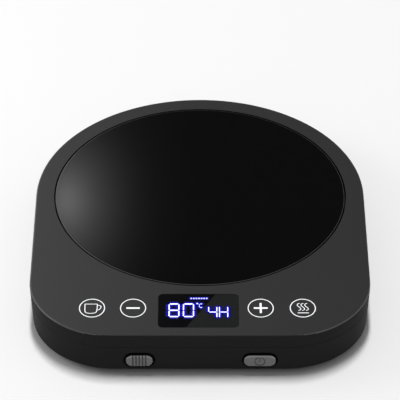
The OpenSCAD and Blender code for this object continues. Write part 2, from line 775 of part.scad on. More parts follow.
module slide_knob() {
    color([0.36, 0.36, 0.36]) difference() {
        union() {
            control_face(slide_x, slide_w);
            control_flange(slide_x, slide_slot_w, slide_flange_t);
            translate([slide_x - fork_w / 2, flange_front + overlap / 2, knob_z - fork_h / 2])
                cube([fork_w, boss_back - flange_front - overlap / 2, fork_h]);
        }
        for (i = [0:grip_count - 1])
            translate([slide_x + (i - (grip_count - 1) / 2) * grip_pitch, knob_front, knob_z])
                cube([grip_w, 2 * knob_bevel, 2 * knob_h], center = true);
        translate([slide_x - lever_w / 2 - lever_fit, guide_back, knob_z - fork_h])
            cube([lever_w + 2 * lever_fit, body_d, 2 * fork_h]);
    }
}

module slide_guide() {
    color([0.07, 0.07, 0.07])
        control_guide(slide_x, slide_slot_w + 2 * (flange_over + slide_travel + slide_fit),
                      fork_w + 2 * (slide_travel + slide_fit), fork_h + 2 * slide_fit);
}

module slide_switch() {
    w = 9.5;
    d = 4;
    h = 3.3;
    color([0.7, 0.7, 0.72]) translate([slide_x, switch_face, power_top]) difference() {
        translate([-w / 2, 0, 0]) cube([w, d, h]);
        translate([-lever_w / 2 - slide_travel - slide_fit, -slack, knob_z - power_top - lever_w / 2 - 1.5 * lever_fit])
            cube([lever_w + 2 * (slide_travel + slide_fit), lever_in + 2 * lever_fit + slack, lever_w + 3 * lever_fit]);
        for (x = [-1, 1]) translate([x * 3.6, d / 2, h - 0.3]) cylinder(r = 0.5, h = 1);
    }
}

module slide_lever() {
    color([0.12, 0.12, 0.12]) translate([slide_x - lever_w / 2, guide_back + lever_fit, knob_z - lever_w / 2])
        cube([lever_w, switch_face + lever_in - guide_back - lever_fit, lever_w]);
}

module power_button() {
    icon_t = 0.5;
    icon_depth = 0.25;
    color([0.36, 0.36, 0.36]) difference() {
        union() {
            control_face(button_x, button_w);
            control_flange(button_x, button_slot_w, button_flange_t);
            upright(button_x, knob_z, flange_front + overlap / 2, boss_back) circle(stem_r);
        }
        upright(button_x, knob_z, knob_front - slack, knob_front + icon_depth) difference() {
            circle(icon_r);
            circle(icon_r - icon_t);
            translate([-1.4 * icon_t, 0]) square([2.8 * icon_t, 2 * icon_r]);
        }
        upright(button_x, knob_z + icon_r / 2, knob_front - slack, knob_front + icon_depth)
            square([icon_t, icon_r], center = true);
    }
}

module button_guide() {
    window = 2 * (stem_r + stem_fit);
    color([0.07, 0.07, 0.07])
        control_guide(button_x, button_slot_w + 2 * (flange_over + slide_fit), window, window);
}

module tact_switch() {
    w = 6.2;
    d = 4.4;
    h = 3.4;
    color([0.12, 0.12, 0.12]) translate([button_x, switch_face, power_top]) difference() {
        translate([-w / 2, 0, 0]) cube([w, d, h]);
        translate([0, -slack, knob_z - power_top]) rotate([-90, 0, 0])
            cylinder(r = plunger_r + lever_fit, h = slack + plunger_in + button_travel + slide_fit);
    }
}

module tact_plunger() {
    color([0.75, 0.72, 0.65]) upright(button_x, knob_z, boss_back, switch_face + plunger_in) circle(plunger_r);
}

// ---- Power board ----

module power_board() {
    color([0.1, 0.3, 0.16]) translate([0, power_y + power_d / 2, power_z]) linear_extrude(board_t)
        difference() {
            rounded(power_w, power_d, 2);
            for (p = power_posts) translate([p.x, p.y - power_y - power_d / 2])
                circle(small_screw_r + screw_fit);
        }
}

module power_board_screws() {
    color([0.6, 0.6, 0.62]) for (p = power_posts) translate([p.x, p.y, power_top]) rotate([180, 0, 0])
        screw(small_screw_r, small_head_r, small_head_h, power_screw_l);
}

module board_connector() {
    pins = 6;
    w = pins * pin_pitch;
    pin_t = 0.6;
    pin_l = 4.4;
    color([0.1, 0.1, 0.1]) translate([power_w / 12, control_y + 0.68 * control_d, power_top]) {
        translate([-w / 2, -pin_pitch / 2, 0]) cube([w, pin_pitch, control_z - power_top]);
        for (i = [0:pins - 1]) translate([(i - (pins - 1) / 2) * pin_pitch, 0, pin_t])
            cube([pin_t, pin_l, pin_t], center = true);
    }
}

module terminal_block() {
    d = terminal_d;
    well_r = 0.15 * terminal_w;
    mouth_w = 0.28 * terminal_w;
    place = [0.31 * power_w, power_y + power_d - d / 2 - 1, power_top];
    color([0.15, 0.4, 0.25]) translate(place) difference() {
        translate([-terminal_w / 2, -d / 2, 0]) cube([terminal_w, d, part_h]);
        for (x = [-1, 1]) translate([x * terminal_w / 4, 0, 0]) {
            translate([0, -0.5, part_h - well_r]) cylinder(r = well_r, h = well_r + slack);
            translate([-mouth_w / 2, d / 2 - 3, 0.8]) cube([mouth_w, 3 + slack, 0.48 * part_h]);
        }
    }
}

module mains_capacitor() {
    color([0.75, 0.6, 0.15]) translate([-power_w / 6, part_y, power_top]) linear_extrude(part_h - 0.1)
        rounded(capacitor_w, capacitor_d, 0.8);
}

// A flat power part: a tab with a hole, a thick body and three legs
module triac() {
    tab_t = 1.3;
    body_l = 0.6 * triac_l;
    leg_w = 0.8;
    leg_l = 4.6;
    color([0.1, 0.1, 0.1]) translate([power_w / 12, part_y, power_top]) {
        difference() {
            union() {
                linear_extrude(tab_t) rounded(triac_w, triac_l, 0.5);
                translate([-triac_w / 2, -triac_l / 2, 0]) cube([triac_w, body_l, part_h - 0.2]);
            }
            translate([0, 0.3 * triac_l, -slack]) cylinder(r = 1.8, h = tab_t + 2 * slack);
        }
        for (x = [-1:1]) translate([x * pin_pitch - leg_w / 2, slack - triac_l / 2 - leg_l, tab_t + slack])
            cube([leg_w, leg_l, slack]);
    }
}

module buzzer() {
    hole_r = 0.9;
    color([0.1, 0.1, 0.1]) translate([-0.35 * power_w, part_y, power_top]) difference() {
        cylinder(r = buzzer_r, h = part_h - 0.4);
        translate([0, 0, part_h - 1]) cylinder(r = hole_r, h = 1);
    }
}

base_shell();
top_cover();
glass_plate();
plate_seal();
heat_spreader();
heater_element();
insulation_disc();
heater_retainer();
retainer_screws();
temperature_sensor();
thermal_fuse();
display_window();
display_module();
control_board();
control_board_screws();
controller_chip();
touch_foam(key_x[0]);  // touch_foam_cup
touch_foam(key_x[1]);  // touch_foam_minus
touch_foam(key_x[2]);  // touch_foam_plus
touch_foam(key_x[3]);  // touch_foam_steam
slide_knob();
slide_guide();
slide_switch();
slide_lever();
power_button();
button_guide();
tact_switch();
tact_plunger();
power_board();
power_board_screws();
board_connector();
terminal_block();
mains_capacitor();
triac();
buzzer();
cord_gland();
housing_screws();
foot(foot_places[0]);  // foot_front_left
foot(foot_places[1]);  // foot_front_right
foot(foot_places[2]);  // foot_rear_left
foot(foot_places[3]);  // foot_rear_right
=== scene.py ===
"""Electric mug warmer, dressed for rendering.

A low two-part moulded housing with a flush round glass plate, a touch panel with a lit display in
front of it, and a ribbed slide knob and a power button low in the front wall. All lengths in the
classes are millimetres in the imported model's frame; the meshes are metres. +Z is up, the front
looks towards -Y.
"""

import logging
import math
from collections.abc import Callable, Sequence
from dataclasses import dataclass, field
from enum import Enum

import bmesh
import bpy
from mathutils import Matrix, Vector


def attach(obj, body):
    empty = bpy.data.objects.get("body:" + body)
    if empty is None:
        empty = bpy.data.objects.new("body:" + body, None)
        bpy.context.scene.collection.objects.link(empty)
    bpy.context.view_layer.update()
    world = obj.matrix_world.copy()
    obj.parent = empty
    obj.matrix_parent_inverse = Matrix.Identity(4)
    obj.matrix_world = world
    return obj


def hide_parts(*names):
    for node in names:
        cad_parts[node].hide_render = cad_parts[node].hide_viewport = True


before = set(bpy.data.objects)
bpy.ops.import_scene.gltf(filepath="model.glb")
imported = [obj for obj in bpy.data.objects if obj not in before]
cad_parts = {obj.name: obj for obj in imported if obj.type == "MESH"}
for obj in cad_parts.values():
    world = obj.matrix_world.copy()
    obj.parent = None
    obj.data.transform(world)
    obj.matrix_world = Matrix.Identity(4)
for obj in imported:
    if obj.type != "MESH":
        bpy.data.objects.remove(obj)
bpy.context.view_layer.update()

MM = 0.001
LOG = logging.getLogger("mug_warmer")

Colour = tuple[float, float, float]
Place = tuple[float, float, float]
Point = tuple[float, float]
Outline = Sequence[Point]
Socket = bpy.types.NodeSocket
Feed = float | tuple[float, ...] | Socket


class Body(Enum):
    """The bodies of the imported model."""

    HOUSING = "housing"
    SLIDE = "slide_control"
    BUTTON = "button_control"


class Pattern(Enum):
    """The fine surface detail that a finish shows."""

    SPARK = "spark"
    BRUSHED = "brushed"
    FIBRE = "fibre"
    FLAKE = "flake"
    TRACKS = "tracks"


class Sign(Enum):
    """The signs printed on the four touch keys."""

    CUP = "cup"
    MINUS = "minus"
    PLUS = "plus"
    STEAM = "steam"


def linear(value: float) -> float:
    """Turn one 0-255 screen value into the linear value, from 0 to 1, that a shader takes."""
    part = value / 255
    return part / 12.92 if part <= 0.04045 else ((part + 0.055) / 1.055) ** 2.4


def rgb(red: float, green: float, blue: float) -> Colour:
    """Turn a 0-255 screen colour into a linear one."""
    return linear(red), linear(green), linear(blue)


def grey(value: float) -> Colour:
    """Turn a 0-255 screen grey into a linear colour."""
    return rgb(value, value, value)


# ---- Node trees and the effects that several finishes share ----


class Wiring:
    """Adds nodes to one tree and feeds their inputs."""

    def __init__(self, tree: bpy.types.NodeTree) -> None:
        """Keep the tree to work on."""
        self.tree = tree

    def add(self, kind: str, feeds: dict[str | int, Feed] | None = None,
            **settings: str | bool | bpy.types.NodeTree) -> bpy.types.Node:
        """Add a node, choose its settings and feed its inputs.

        Args:
            kind: The node's type, without the leading ShaderNode.
            feeds: What to feed its inputs, by name or number.
            **settings: The node's own settings.

        Returns:
            The new node.
        """
        node = self.tree.nodes.new("ShaderNode" + kind)
        for key, setting in settings.items():
            setattr(node, key, setting)
        for key, feed in (feeds or {}).items():
            self.feed(node, key, feed)
        return node

    def feed(self, node: bpy.types.Node, key: str | int, feed: Feed) -> None:
        """Feed one input.

        Args:
            node: The node that has the input.
            key: The input's name or number.
            feed: A constant, or another node's output to link.
        """
        if isinstance(feed, Socket):
            self.tree.links.new(feed, node.inputs[key])
        else:
            node.inputs[key].default_value = feed

    def blend(self, factor: Feed, low: Feed, high: Feed, how: str = "MIX") -> Socket:
        """Blend two colours.

        Args:
            factor: The share of the second colour.
            low: The first one, as a linear colour or an output.
            high: The second one, likewise.
            how: The kind of blend.

        Returns:
            The output with the blended colour.
        """
        low, high = ((*one, 1.0) if isinstance(one, tuple) else one for one in (low, high))
        mix = self.add("Mix", data_type="RGBA", blend_type=how)
        for key, feed in (("Factor", factor), ("A", low), ("B", high)):
            self.feed(mix, key, feed)
        return mix.outputs["Result"]


class Effects:
    """Node groups for grain, streaks and handling film, each built once."""

    def __init__(self) -> None:
        """Build the groups."""
        self.grain = self._grain()
        self.streaks = self._streaks()
        self.film = self._film()

    @staticmethod
    def _group(name: str, outputs: tuple[str, ...], **inputs: float) -> Wiring:
        """Make an empty group that reads coordinates.

        Args:
            name: The group's name.
            outputs: Names of the value outputs.
            **inputs: The value inputs with their defaults.

        Returns:
            The group's nodes.
        """
        tree = bpy.data.node_groups.new(name, "ShaderNodeTree")
        new = tree.interface.new_socket
        new(name="Vector", in_out="INPUT", socket_type="NodeSocketVector")
        for key, default in inputs.items():
            new(name=key, in_out="INPUT", socket_type="NodeSocketFloat").default_value = default
        for key in outputs:
            new(name=key, in_out="OUTPUT", socket_type="NodeSocketFloat")
        tree.nodes.new("NodeGroupInput").name = "in"
        tree.nodes.new("NodeGroupOutput").name = "out"
        return Wiring(tree)

    @staticmethod
    def _give_out(wires: Wiring, height: Socket, noise: Socket, lows: float) -> None:
        """Give out a pattern's height, and its noise drawn out to a full colour mask.

        Args:
            wires: The group.
            height: The height.
            noise: The noise.
            lows: The noise at the mask's zero. Its one lies as far above the middle.
        """
        mask = wires.add("MapRange", {"Value": noise, "From Min": lows, "From Max": 1 - lows})
        wires.feed(wires.tree.nodes["out"], "Height", height)
        wires.feed(wires.tree.nodes["out"], "Fleck", mask.outputs["Result"])

    def _grain(self) -> bpy.types.NodeTree:
        """Spark-eroded mould grain: a soft cell pattern with finer noise on it.

        Returns:
            The group, with the outputs Height and Fleck.
        """
        wires = self._group("mould_grain", ("Height", "Fleck"), Scale=2500.0)
        into = wires.tree.nodes["in"].outputs
        spread = {"Vector": into["Vector"], "Scale": into["Scale"]}
        cells = wires.add("TexVoronoi", spread, feature="SMOOTH_F1").outputs["Distance"]
        fine = wires.add("TexNoise", {**spread, "Detail": 4.0}).outputs["Fac"]
        mix = wires.add("Mix", {"Factor": 0.5, "A": cells, "B": fine}, data_type="FLOAT")
        self._give_out(wires, mix.outputs["Result"], fine, 0.35)
        return wires.tree

    def _streaks(self) -> bpy.types.NodeTree:
        """Streaks along one direction: noise drawn out by stretched coordinates.

        Returns:
            The group, with the outputs Height and Fleck.
        """
        wires = self._group("streaks", ("Height", "Fleck"), Scale=900.0, Stretch=0.05)
        into = wires.tree.nodes["in"].outputs
        factors = wires.add("CombineXYZ", {"X": into["Stretch"], "Y": 1.0, "Z": 1.0})
        drawn = wires.add("VectorMath", {0: into["Vector"], 1: factors.outputs["Vector"]},
                          operation="MULTIPLY").outputs["Vector"]
        noise = wires.add("TexNoise", {"Vector": drawn, "Scale": into["Scale"],
                                       "Detail": 5.0}).outputs["Fac"]
        self._give_out(wires, noise, noise, 0.3)
        return wires.tree

    def _film(self) -> bpy.types.NodeTree:
        """The faint uneven film that handling leaves, as a value around zero.

        Returns:
            The group, with the output Rise.
        """
        wires = self._group("handling_film", ("Rise",), Scale=35.0, Amount=0.05)
        into = wires.tree.nodes["in"].outputs
        noise = wires.add("TexNoise", {"Vector": into["Vector"], "Scale": into["Scale"],
                                       "Detail": 6.0, "Roughness": 0.6}).outputs["Fac"]
        centred = wires.add("Math", {0: noise, 1: 0.5}, operation="SUBTRACT").outputs["Value"]
        rise = wires.add("Math", {0: centred, 1: into["Amount"]}, operation="MULTIPLY")
        wires.feed(wires.tree.nodes["out"], "Rise", rise.outputs["Value"])
        return wires.tree


EFFECTS = Effects()


@dataclass(frozen=True)
class Surface:
    """A material that is made once, whatever asks for it."""

    name: str

    def material(self) -> bpy.types.Material:
        """Make the material, or give the one that is made already.

        Returns:
            The Blender material.
        """
        if self.name in bpy.data.materials:
            return bpy.data.materials[self.name]
        made = bpy.data.materials.new(self.name)
        made.use_nodes = True
        wires = Wiring(made.node_tree)
        place = wires.add("TexCoord").outputs["Object"]
        shader = made.node_tree.nodes["Principled BSDF"]
        for key, feed in self._feeds(wires, place).items():
            wires.feed(shader, key, feed)
        return made

    def _feeds(self, wires: Wiring, place: Socket) -> dict[str | int, Feed]:
        """Add a surface's nodes and say what goes into the shader's inputs."""
        raise NotImplementedError


@dataclass(frozen=True)
class Finish(Surface):
    """A surface finish.

    Attributes:
        dark: Linear colour in the pattern's lows.
        light: Linear colour in the pattern's highs.
        roughness: Mean roughness.
        pattern: The kind of fine detail.
        scale: The pattern's scale, in cells per metre.
        depth: Depth of its bump, in metres.
        bump: Strength of its bump.
        metallic: 1 for bare metal.
        specular: Specular level of the shader.
        coat: Weight of a clear coat.
        film: How far the handling film moves the roughness.
        stretch: How much the streaks are drawn out along X.
    """

    dark: Colour
    light: Colour
    roughness: float
    pattern: Pattern = Pattern.SPARK
    scale: float = 2500.0
    depth: float = 0.00002
    bump: float = 0.6
    metallic: float = 0.0
    specular: float = 0.5
    coat: float = 0.0
    film: float = 0.08
    stretch: float = 0.05

    def _feeds(self, wires: Wiring, place: Socket) -> dict[str | int, Feed]:
        """Add the pattern, the colours, the handling film and the bump.

        Args:
            wires: The material's nodes.
            place: The coordinates to read.

        Returns:
            What goes into the shader's inputs.
        """
        height, fleck = self._detail(wires, place)
        film = wires.add("Group", {"Vector": place, "Amount": self.film}, node_tree=EFFECTS.film)
        rough = wires.add("Math", {0: film.outputs["Rise"], 1: self.roughness}, use_clamp=True)
        bump = wires.add("Bump", {"Strength": self.bump, "Distance": self.depth, "Height": height})
        return {"Base Color": self._colour(wires, place, fleck), "Metallic": self.metallic,
                "Roughness": rough.outputs["Value"], "Specular IOR Level": self.specular,
                "Coat Weight": self.coat, "Normal": bump.outputs["Normal"]}

    def _detail(self, wires: Wiring, place: Socket) -> tuple[Socket, Socket]:
        """Add the nodes of the pattern.

        Args:
            wires: The material's nodes.
            place: The coordinates to read.

        Returns:
            The outputs with the height and with the colour mask.
        """
        feeds = {"Vector": place, "Scale": self.scale}
        if self.pattern is Pattern.FLAKE:
            cells = wires.add("TexVoronoi", feeds)
            return cells.outputs["Distance"], cells.outputs["Color"]
        if self.pattern is Pattern.TRACKS:
            levels = {"Color1": 0.0, "Color2": 0.25, "Mortar": 1.0}
            feeds |= {key: (level, level, level, 1.0) for key, level in levels.items()}
            bricks = wires.add("TexBrick", feeds | {"Mortar Size": 0.06})
            return bricks.outputs["Fac"], bricks.outputs["Color"]
        group = EFFECTS.grain
        if self.pattern in (Pattern.BRUSHED, Pattern.FIBRE):
            group = EFFECTS.streaks
            feeds["Stretch"] = self.stretch
        made = wires.add("Group", feeds, node_tree=group)
        return made.outputs["Height"], made.outputs["Fleck"]

    def _colour(self, wires: Wiring, place: Socket, fleck: Socket) -> Socket:
        """Mix the two colours by the pattern's mask."""
        return wires.blend(fleck, self.dark, self.light)


@dataclass(frozen=True)
class PaintedReflectionLens(Finish):
    """A smoked lens whose dark tone meets a paler painted reflection on a slanting line.

    The slant is the line's sideways run for each unit of depth. The offset, where it crosses y = 0,
    and the blur, half the width over which the two change, are in metres.
    """

    lens_tone: Colour = rgb(3, 3, 5)
    painted_reflection: Colour = rgb(32, 33, 33)
    slant: float = 0.5674
    offset: float = 0.0406
    blur: float = 0.0004
    flecks: float = 0.15

    def _colour(self, wires: Wiring, place: Socket, fleck: Socket) -> Socket:
        """Lay the lens's dark tone and the painted reflection side by side, with the fine pattern
        on both.

        Args:
            wires: The material's nodes.
            place: The coordinates to read.
            fleck: The mask.

        Returns:
            The output with the colour.
        """
        across = wires.add("VectorMath", {0: place, 1: (1.0, -self.slant, 0.0)},
                           operation="DOT_PRODUCT").outputs["Value"]
        side = wires.add("MapRange", {"Value": across, "From Min": self.offset - self.blur,
                                      "From Max": self.offset + self.blur})
        tone_and_reflection = wires.blend(side.outputs["Result"], self.lens_tone, self.painted_reflection)
        return wires.blend(self.flecks, tone_and_reflection, fleck, "MULTIPLY")


@dataclass(frozen=True)
class LitFinish(Surface):
    """A lit or printed layer: a base colour that also shines, a little unevenly."""

    colour: Colour
    glow: Colour
    strength: float
    uneven: float = 0.08
    roughness: float = 0.35
    scale: float = 900.0

    def _feeds(self, wires: Wiring, place: Socket) -> dict[str | int, Feed]:
        """Add the uneven base colour and light.

        Args:
            wires: The material's nodes.
            place: The coordinates to read.

        Returns:
            What goes into the shader's inputs.
        """
        grain = wires.add("Group", {"Vector": place, "Scale": self.scale}, node_tree=EFFECTS.grain)
        feeds = {"Roughness": self.roughness, "Emission Strength": self.strength}
        for key, full in (("Base Color", self.colour), ("Emission Color", self.glow)):
            dim = tuple(part * (1 - self.uneven) for part in full)
            feeds[key] = wires.blend(grain.outputs["Fleck"], dim, full)
        return feeds


# ---- Finishes ----

UPPER = Finish("charcoal_mould", grey(42), grey(48), 0.42, scale=2600, specular=0.4)
# Painted shade: a darker, barely glossy copy of the charcoal for the walls of cover and base, the
# lens's sides and the hidden backs of the controls.
SHADED_SIDES = Finish("charcoal_mould_shaded_sides", grey(31), grey(36), 0.6, scale=2600, depth=0.00003,
               specular=0.04)
# Painted highlight: a lighter, glossier copy of the charcoal on the cover's rounded top edge.
EDGE_HIGHLIGHT = Finish("charcoal_mould_edge_highlight", grey(55), grey(63), 0.3, scale=2600, depth=0.00001)
# Painted light: a much lighter copy of the charcoal on the base wall's upper end, which lifts the
# shade in the parting line.
LIP_PAINTED_LIGHT = Finish("charcoal_mould_lip_painted_light", grey(80), grey(88), 0.5, scale=2600, specular=0.3)
# Painted shade: near black on the plate's side and on the cover's faces in the groove around the
# plate.
GROOVE_SHADE = Finish("groove_painted_shade", grey(3), grey(6), 0.8, scale=2600, specular=0.05)
# Painted highlight: a paler band on the upper part of the plate's rounded top edge.
GLASS_EDGE_HIGHLIGHT = Finish("glass_edge_painted_highlight", rgb(56, 56, 58), rgb(66, 66, 68), 0.3, scale=1500)
GLASS = Finish("black_ceramic_glass", rgb(4, 4, 5), rgb(6, 6, 7), 0.1, scale=500, depth=0.000002,
               film=0.05)
# The lens's colour is a dark tone with a painted reflection beyond a slanting line.
LENS = PaintedReflectionLens("smoked_lens", rgb(9, 9, 11), rgb(13, 13, 16), 0.16, scale=400, depth=0.000002,
                  film=0.04)
CONTROL = Finish("satin_grey", rgb(98, 98, 99), rgb(106, 106, 107), 0.34, scale=3200,
                 depth=0.000015)
# Painted highlight: a much lighter copy of the satin grey on the upper half of the controls'
# rounded front edge.
RIM_HIGHLIGHT = Finish("satin_grey_rim_highlight", rgb(160, 160, 161), rgb(170, 170, 171), 0.3, scale=3200,
             depth=0.000015)
# Painted shade: a darker copy of the satin grey in the knob's grip grooves and the button's sunk
# sign.
RECESS_SHADE = Finish("satin_grey_recess_shade", rgb(66, 66, 67), rgb(74, 74, 75), 0.6, scale=3200)
RUBBER = Finish("foot_rubber", grey(18), grey(26), 0.8, scale=1500, depth=0.00004, specular=0.3)
BLACK_RUBBER = Finish("gland_rubber", rgb(22, 22, 23), rgb(28, 28, 29), 0.62, scale=1800)
SILICONE = Finish("red_silicone", rgb(150, 52, 42), rgb(166, 62, 50), 0.5, scale=1200)
ALUMINIUM = Finish("rolled_aluminium", rgb(196, 197, 200), rgb(214, 215, 218), 0.3,
                   Pattern.BRUSHED, metallic=1.0, depth=0.000005)
MICA = Finish("mica_sheet", rgb(150, 128, 84), rgb(196, 176, 128), 0.35, Pattern.FLAKE, scale=260)
WOOL = Finish("insulating_felt", rgb(205, 200, 188), rgb(228, 224, 214), 0.95, Pattern.FIBRE,
              scale=700, depth=0.0002, stretch=0.2)
SHEET = Finish("sheet_steel", rgb(170, 172, 176), rgb(196, 198, 202), 0.36, Pattern.BRUSHED,
               metallic=1.0, depth=0.000006)
SCREW = Finish("screw_steel", rgb(150, 151, 155), rgb(176, 177, 181), 0.32, Pattern.BRUSHED,
               scale=2400, metallic=1.0, depth=0.000008, stretch=0.4)
CERAMIC = Finish("sensor_ceramic", rgb(224, 222, 216), rgb(238, 236, 231), 0.6, scale=1400)
FUSE = Finish("fuse_body", rgb(190, 178, 146), rgb(208, 198, 168), 0.45, scale=1600)
REFLECTOR = Finish("display_white", rgb(214, 215, 219), rgb(228, 229, 233), 0.5, scale=1300)
LACQUER = Finish("board_lacquer", rgb(24, 78, 44), rgb(56, 118, 72), 0.3, Pattern.TRACKS,
                 scale=90, depth=0.00003, coat=0.3)
COMPONENT = Finish("component_black", rgb(28, 28, 29), rgb(38, 38, 39), 0.55, scale=2200)
FOAM = Finish("conductive_foam", rgb(56, 56, 60), rgb(96, 96, 101), 0.95, scale=1100, depth=0.0002)
GUIDE = Finish("guide_black", rgb(24, 24, 25), rgb(31, 31, 32), 0.45, scale=2000)
CAN = Finish("switch_can", rgb(176, 177, 180), rgb(202, 203, 206), 0.28, Pattern.BRUSHED,
             scale=1600, metallic=1.0, depth=0.000005)
PLUNGER = Finish("plunger_plastic", rgb(186, 178, 160), rgb(200, 193, 177), 0.4, scale=1800)
TERMINAL = Finish("terminal_green", rgb(38, 104, 62), rgb(48, 118, 72), 0.42, scale=1700)
CAPACITOR = Finish("capacitor_yellow", rgb(196, 158, 44), rgb(210, 173, 58), 0.4, scale=1500)
# White print with a painted glow: it also shines a little.
GLOWING_PRINT = LitFinish("white_print_painted_glow", rgb(236, 237, 240), rgb(236, 237, 240), 0.35)
LIT = LitFinish("lit_figure", (0.9, 0.93, 1.0), (0.9, 0.93, 1.0), 0.85)
LIT_SMALL = LitFinish("lit_mark", (0.5, 0.52, 1.0), (0.5, 0.52, 1.0), 0.9)
HALO = LitFinish("figure_halo", rgb(0, 0, 60), rgb(0, 0, 196), 0.9, 0.15)
HALO_EDGE = LitFinish("figure_halo_edge", rgb(0, 0, 52), rgb(0, 0, 92), 0.8, 0.4)

CARRIED = {
    "plate_seal": SILICONE, "heat_spreader": ALUMINIUM, "heater_element": MICA,
    "insulation_disc": WOOL, "heater_retainer": SHEET, "retainer_screws": SCREW,
    "temperature_sensor": CERAMIC, "thermal_fuse": FUSE, "display_module": REFLECTOR,
    "control_board": LACQUER, "control_board_screws": SCREW, "controller_chip": COMPONENT,
    "touch_foam_cup": FOAM, "touch_foam_minus": FOAM, "touch_foam_plus": FOAM,
    "touch_foam_steam": FOAM, "slide_guide": GUIDE, "slide_switch": CAN, "slide_lever": GUIDE,
    "button_guide": GUIDE, "tact_switch": COMPONENT, "tact_plunger": PLUNGER,
    "power_board": LACQUER, "power_board_screws": SCREW, "board_connector": COMPONENT,
    "terminal_block": TERMINAL, "mains_capacitor": CAPACITOR, "triac": COMPONENT,
    "buzzer": COMPONENT, "housing_screws": SCREW,
}


# ---- Making pieces ----

Choice = tuple[Surface, Callable[[Vector, Vector], bool]]


@dataclass(frozen=True)
class Part:
    """What a piece is called, how it looks and what it rides on.

    Attributes:
        name: The piece's name.
        finish: The finish of every face that no test chooses.
        slot: The record's material slot. It is not used.
        others: Further finishes, each with a test of a face's middle, in millimetres, and its
            normal. The first test that holds for a face counts.
        body: The body it rides on.
        smooth: Largest angle, in degrees, that still shades smooth.
    """

    name: str
    finish: Surface
    slot: str
    others: tuple[Choice, ...] = ()
    body: Body = Body.HOUSING
    smooth: float = 35.0


class Blank:
    """A mesh being shaped, with the tools that the pieces share."""

    def __init__(self) -> None:
        """Start with an empty mesh."""
        self.bm = bmesh.new()

    def place(self, offset: Place) -> "Blank":
        """Move the whole mesh by an offset in millimetres."""
        bmesh.ops.translate(self.bm, vec=Vector(offset), verts=self.bm.verts)
        return self

    def merge(self, reach: float = 1e-5) -> None:
        """Merge the corners that lie closer together than the reach."""
        bmesh.ops.remove_doubles(self.bm, verts=self.bm.verts, dist=reach)

    def spun(self, profile: list[Point], steps: int = 192) -> "Blank":
        """Turn a profile full circle about the Z axis.

        Args:
            profile: Points as radius and height, from the axis or rim round to the other end.
            steps: Number of steps in the circle.

        Returns:
            This blank.
        """
        verts = [self.bm.verts.new((radius, 0.0, height)) for radius, height in profile]
        edges = [self.bm.edges.new(pair) for pair in zip(verts, verts[1:])]
        bmesh.ops.spin(self.bm, geom=verts + edges, cent=(0, 0, 0), axis=(0, 0, 1), angle=math.tau,
                       steps=steps, use_merge=True)
        self.merge()
        return self

    def slab(self, outline: Outline, bottom: float, top: float) -> None:
        """Raise a flat outline of a few points into a plate.

        Args:
            outline: The outline's corners, in order.
            bottom: Height of the underside.
            top: Height of the top.
        """
        face = self.bm.faces.new([self.bm.verts.new((x, y, bottom)) for x, y in outline])
        grown = bmesh.ops.extrude_face_region(self.bm, geom=[face])
        rise = [part for part in grown["geom"] if isinstance(part, bmesh.types.BMVert)]
        bmesh.ops.translate(self.bm, vec=(0, 0, top - bottom), verts=rise)

    def rounded_box(self, size: Place, corner: float, edge: float) -> "Blank":
        """Make a plate with round corners and softened top edges.

        Args:
            size: Width, depth and height, standing on z = 0.
            corner: Radius of the four upright edges.
            edge: Radius of the edges of the top face.

        Returns:
            This blank.
        """
        height = size[2]
        bmesh.ops.create_cube(self.bm, size=1.0)
        bmesh.ops.scale(self.bm, vec=size, verts=self.bm.verts)
        self.place((0, 0, height / 2))
        self._round([e for e in self.bm.edges
                     if abs(e.verts[0].co.z - e.verts[1].co.z) > height / 2], corner, 10)
        self._round([e for e in self.bm.edges
                     if min(v.co.z for v in e.verts) > height - 1e-4], edge, 4)
        return self

    def _round(self, edges: list[bmesh.types.BMEdge], radius: float, steps: int) -> None:
        """Round some edges in a number of steps."""
        bmesh.ops.bevel(self.bm, geom=edges, offset=radius, segments=steps, profile=0.5,
                        affect="EDGES", material=-1)

    def piece(self, part: Part) -> bpy.types.Object:
        """Clean up a mesh made in millimetres and turn it into a finished piece.

        Args:
            part: What the piece is.

        Returns:
            The new object.
        """
        self.merge()
        bmesh.ops.recalc_face_normals(self.bm, faces=self.bm.faces)
        bmesh.ops.scale(self.bm, vec=(MM, MM, MM), verts=self.bm.verts)
        return self.finished(part)

    def finished(self, part: Part) -> bpy.types.Object:
        """Shade a mesh that is in metres, give it its finishes and put it on its body.

        Args:
            part: What the piece is.

        Returns:
            The new object.
        """
        self._soften(math.radians(part.smooth))
        for face in self.bm.faces:
            middle = face.calc_center_median() / MM
            chosen = (i for i, (_, test) in enumerate(part.others, 1) if test(middle, face.normal))
            face.material_index = next(chosen, 0)
        mesh = bpy.data.meshes.new(part.name)
        self.bm.to_mesh(mesh)
        self.bm.free()
        for each in (part.finish, *(more for more, _ in part.others)):
            mesh.materials.append(each.material())
        made = put_in_scene(part.name, mesh)
        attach(made, part.body.value)
        even = made.modifiers.new("even_normals", "WEIGHTED_NORMAL")
        even.keep_sharp = True
        even.weight = 80
        LOG.info("%s: %d faces, rides on %s", part.name, len(mesh.polygons), part.body.value)
        return made

    def _soften(self, limit: float) -> None:
        """Shade every face smooth and keep the edges sharp that turn by more than the limit.

        Args:
            limit: The angle in radians.
        """
        for face in self.bm.faces:
            face.smooth = True
        for edge in self.bm.edges:
            edge.smooth = not (len(edge.link_faces) == 2 and edge.calc_face_angle(0.0) > limit)


def put_in_scene(name: str, data: bpy.types.ID) -> bpy.types.Object:
    """Make an object in the scene.

    Args:
        name: Its name.
        data: Its mesh, lamp or camera.

    Returns:
        The new object.
    """
    made = bpy.data.objects.new(name, data)
    bpy.context.scene.collection.objects.link(made)
    return made


def dressed_copy(node: str, part: Part) -> None:
    """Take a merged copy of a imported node, shade it smooth and give it its finishes.

    Args:
        node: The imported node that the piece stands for.
        part: What the piece is.
    """
    blank = Blank()
    blank.bm.from_mesh(bpy.data.objects[node].data)
    blank.merge(2e-7)
    made = blank.finished(part)
    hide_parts(node)


# ---- The object's own pieces ----


